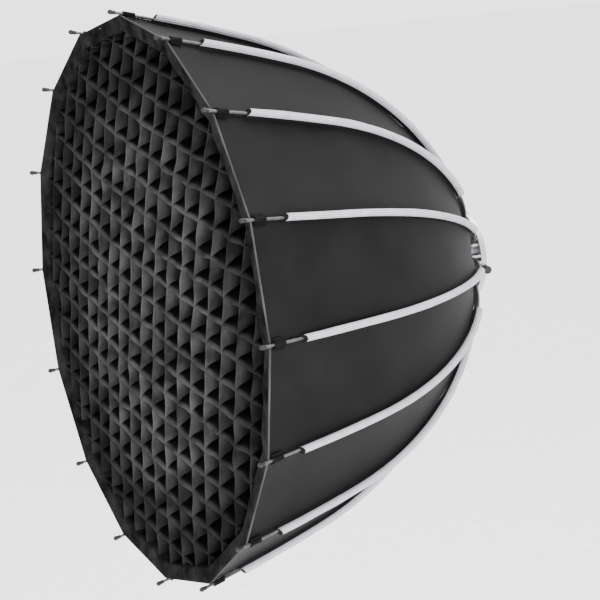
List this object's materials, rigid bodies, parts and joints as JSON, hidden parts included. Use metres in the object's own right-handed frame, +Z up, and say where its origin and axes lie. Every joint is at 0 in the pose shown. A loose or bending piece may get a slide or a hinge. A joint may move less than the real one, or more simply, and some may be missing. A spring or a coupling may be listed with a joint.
{
  "type": "parabolic softbox",
  "caption": "Deep many-ribbed folding parabolic softbox with sleeved sprung ribs, silver lining, two diffusers, fabric egg-crate grid and a turning lamp bayonet.",
  "frame": {"origin": "centre of the lamp bore at the bayonet flange's rear seating face", "axes": "+Y along the light axis towards the lamp, the mouth faces -Y, +Z up through rib 01"},
  "size_m": [1.2254, 0.8197, 1.2254],
  "materials": {
    "machined_aluminium": "satin, fine turned lines",
    "steel": "satin",
    "black_plastic": "fine grain",
    "rod_black": "glass-fibre rod, semi-gloss",
    "black_fabric": "woven nylon",
    "silver_fabric": "metallised lining",
    "grey_sleeve_fabric": "ribbed webbing",
    "white_diffusion_cloth": "matt translucent"
  },
  "bodies": {
    "bayonet": {"bayonet_ring": "machined_aluminium", "bearing_spigot": "machined_aluminium", "retainer_ring": "machined_aluminium", "retainer_screws": "steel"},
    "hub": {"hub_ring": "machined_aluminium", "hinge_pins": "steel", "shell_panels": "black_fabric", "shell_lining": "silver_fabric", "rib_sleeves": "grey_sleeve_fabric", "corner_loops": "black_fabric", "rim_binding": "grey_sleeve_fabric", "grid_upright_strips": "black_fabric", "grid_level_strips": "black_fabric", "grid_border": "black_fabric", "front_diffuser": "white_diffusion_cloth", "front_diffuser_hem": "white_diffusion_cloth", "inner_diffuser": "white_diffusion_cloth", "inner_diffuser_tabs": "white_diffusion_cloth"},
    "lock_knob_1": {"lock_knob_1": "black_plastic"},
    "lock_knob_2": {"lock_knob_2": "black_plastic"},
    "rib_01": {"rib_rod_01": "rod_black", "rib_carrier_01": "black_plastic"},
    "rib_02": {"rib_rod_02": "rod_black", "rib_carrier_02": "black_plastic"},
    "rib_03": {"rib_rod_03": "rod_black", "rib_carrier_03": "black_plastic"},
    "rib_04": {"rib_rod_04": "rod_black", "rib_carrier_04": "black_plastic"},
    "rib_05": {"rib_rod_05": "rod_black", "rib_carrier_05": "black_plastic"},
    "rib_06": {"rib_rod_06": "rod_black", "rib_carrier_06": "black_plastic"},
    "rib_07": {"rib_rod_07": "rod_black", "rib_carrier_07": "black_plastic"},
    "rib_08": {"rib_rod_08": "rod_black", "rib_carrier_08": "black_plastic"},
    "rib_09": {"rib_rod_09": "rod_black", "rib_carrier_09": "black_plastic"},
    "rib_10": {"rib_rod_10": "rod_black", "rib_carrier_10": "black_plastic"},
    "rib_11": {"rib_rod_11": "rod_black", "rib_carrier_11": "black_plastic"},
    "rib_12": {"rib_rod_12": "rod_black", "rib_carrier_12": "black_plastic"},
    "rib_13": {"rib_rod_13": "rod_black", "rib_carrier_13": "black_plastic"},
    "rib_14": {"rib_rod_14": "rod_black", "rib_carrier_14": "black_plastic"},
    "rib_15": {"rib_rod_15": "rod_black", "rib_carrier_15": "black_plastic"},
    "rib_16": {"rib_rod_16": "rod_black", "rib_carrier_16": "black_plastic"}
  },
  "joints": [
    {"name": "hub_turn", "type": "hinge", "parent": "bayonet", "child": "hub", "pos_m": [0, -0.0145, 0], "axis": [0, 1, 0], "continuous": true},
    {"name": "lock_knob_1_turn", "type": "hinge", "parent": "hub", "child": "lock_knob_1", "pos_m": [0.10396, -0.0125, -0.02068], "axis": [0.9808, 0, -0.1951], "range_deg": [0, 180]},
    {"name": "lock_knob_2_turn", "type": "hinge", "parent": "hub", "child": "lock_knob_2", "pos_m": [-0.10396, -0.0125, 0.02068], "axis": [-0.9808, 0, 0.1951], "range_deg": [0, 180]},
    {"name": "rib_01_fold", "type": "hinge", "parent": "hub", "child": "rib_01", "pos_m": [0, -0.032, 0.092], "axis": [1, 0, 0], "range_deg": [0, 33], "deforming": ["shell_panels", "shell_lining", "rib_sleeves", "corner_loops", "rim_binding", "grid_upright_strips", "grid_level_strips", "grid_border", "front_diffuser", "front_diffuser_hem", "inner_diffuser", "inner_diffuser_tabs"]},
    {"name": "rib_02_fold", "type": "hinge", "parent": "hub", "child": "rib_02", "pos_m": [0.03521, -0.032, 0.085], "axis": [0.9239, 0, -0.3827], "range_deg": [0, 33]},
    {"name": "rib_03_fold", "type": "hinge", "parent": "hub", "child": "rib_03", "pos_m": [0.06505, -0.032, 0.06505], "axis": [0.7071, 0, -0.7071], "range_deg": [0, 33]},
    {"name": "rib_04_fold", "type": "hinge", "parent": "hub", "child": "rib_04", "pos_m": [0.085, -0.032, 0.03521], "axis": [0.3827, 0, -0.9239], "range_deg": [0, 33]},
    {"name": "rib_05_fold", "type": "hinge", "parent": "hub", "child": "rib_05", "pos_m": [0.092, -0.032, 0], "axis": [0, 0, -1], "range_deg": [0, 33]},
    {"name": "rib_06_fold", "type": "hinge", "parent": "hub", "child": "rib_06", "pos_m": [0.085, -0.032, -0.03521], "axis": [-0.3827, 0, -0.9239], "range_deg": [0, 33]},
    {"name": "rib_07_fold", "type": "hinge", "parent": "hub", "child": "rib_07", "pos_m": [0.06505, -0.032, -0.06505], "axis": [-0.7071, 0, -0.7071], "range_deg": [0, 33]},
    {"name": "rib_08_fold", "type": "hinge", "parent": "hub", "child": "rib_08", "pos_m": [0.03521, -0.032, -0.085], "axis": [-0.9239, 0, -0.3827], "range_deg": [0, 33]},
    {"name": "rib_09_fold", "type": "hinge", "parent": "hub", "child": "rib_09", "pos_m": [0, -0.032, -0.092], "axis": [-1, 0, 0], "range_deg": [0, 33]},
    {"name": "rib_10_fold", "type": "hinge", "parent": "hub", "child": "rib_10", "pos_m": [-0.03521, -0.032, -0.085], "axis": [-0.9239, 0, 0.3827], "range_deg": [0, 33]},
    {"name": "rib_11_fold", "type": "hinge", "parent": "hub", "child": "rib_11", "pos_m": [-0.06505, -0.032, -0.06505], "axis": [-0.7071, 0, 0.7071], "range_deg": [0, 33]},
    {"name": "rib_12_fold", "type": "hinge", "parent": "hub", "child": "rib_12", "pos_m": [-0.085, -0.032, -0.03521], "axis": [-0.3827, 0, 0.9239], "range_deg": [0, 33]},
    {"name": "rib_13_fold", "type": "hinge", "parent": "hub", "child": "rib_13", "pos_m": [-0.092, -0.032, 0], "axis": [0, 0, 1], "range_deg": [0, 33]},
    {"name": "rib_14_fold", "type": "hinge", "parent": "hub", "child": "rib_14", "pos_m": [-0.085, -0.032, 0.03521], "axis": [0.3827, 0, 0.9239], "range_deg": [0, 33]},
    {"name": "rib_15_fold", "type": "hinge", "parent": "hub", "child": "rib_15", "pos_m": [-0.06505, -0.032, 0.06505], "axis": [0.7071, 0, 0.7071], "range_deg": [0, 33]},
    {"name": "rib_16_fold", "type": "hinge", "parent": "hub", "child": "rib_16", "pos_m": [-0.03521, -0.032, 0.085], "axis": [0.9239, 0, 0.3827], "range_deg": [0, 33]}
  ],
  "couplings": [
    {"joint": "rib_02_fold", "follows": "rib_01_fold", "ratio": 1},
    {"joint": "rib_03_fold", "follows": "rib_01_fold", "ratio": 1},
    {"joint": "rib_04_fold", "follows": "rib_01_fold", "ratio": 1},
    {"joint": "rib_05_fold", "follows": "rib_01_fold", "ratio": 1},
    {"joint": "rib_06_fold", "follows": "rib_01_fold", "ratio": 1},
    {"joint": "rib_07_fold", "follows": "rib_01_fold", "ratio": 1},
    {"joint": "rib_08_fold", "follows": "rib_01_fold", "ratio": 1},
    {"joint": "rib_09_fold", "follows": "rib_01_fold", "ratio": 1},
    {"joint": "rib_10_fold", "follows": "rib_01_fold", "ratio": 1},
    {"joint": "rib_11_fold", "follows": "rib_01_fold", "ratio": 1},
    {"joint": "rib_12_fold", "follows": "rib_01_fold", "ratio": 1},
    {"joint": "rib_13_fold", "follows": "rib_01_fold", "ratio": 1},
    {"joint": "rib_14_fold", "follows": "rib_01_fold", "ratio": 1},
    {"joint": "rib_15_fold", "follows": "rib_01_fold", "ratio": 1},
    {"joint": "rib_16_fold", "follows": "rib_01_fold", "ratio": 1}
  ]
}
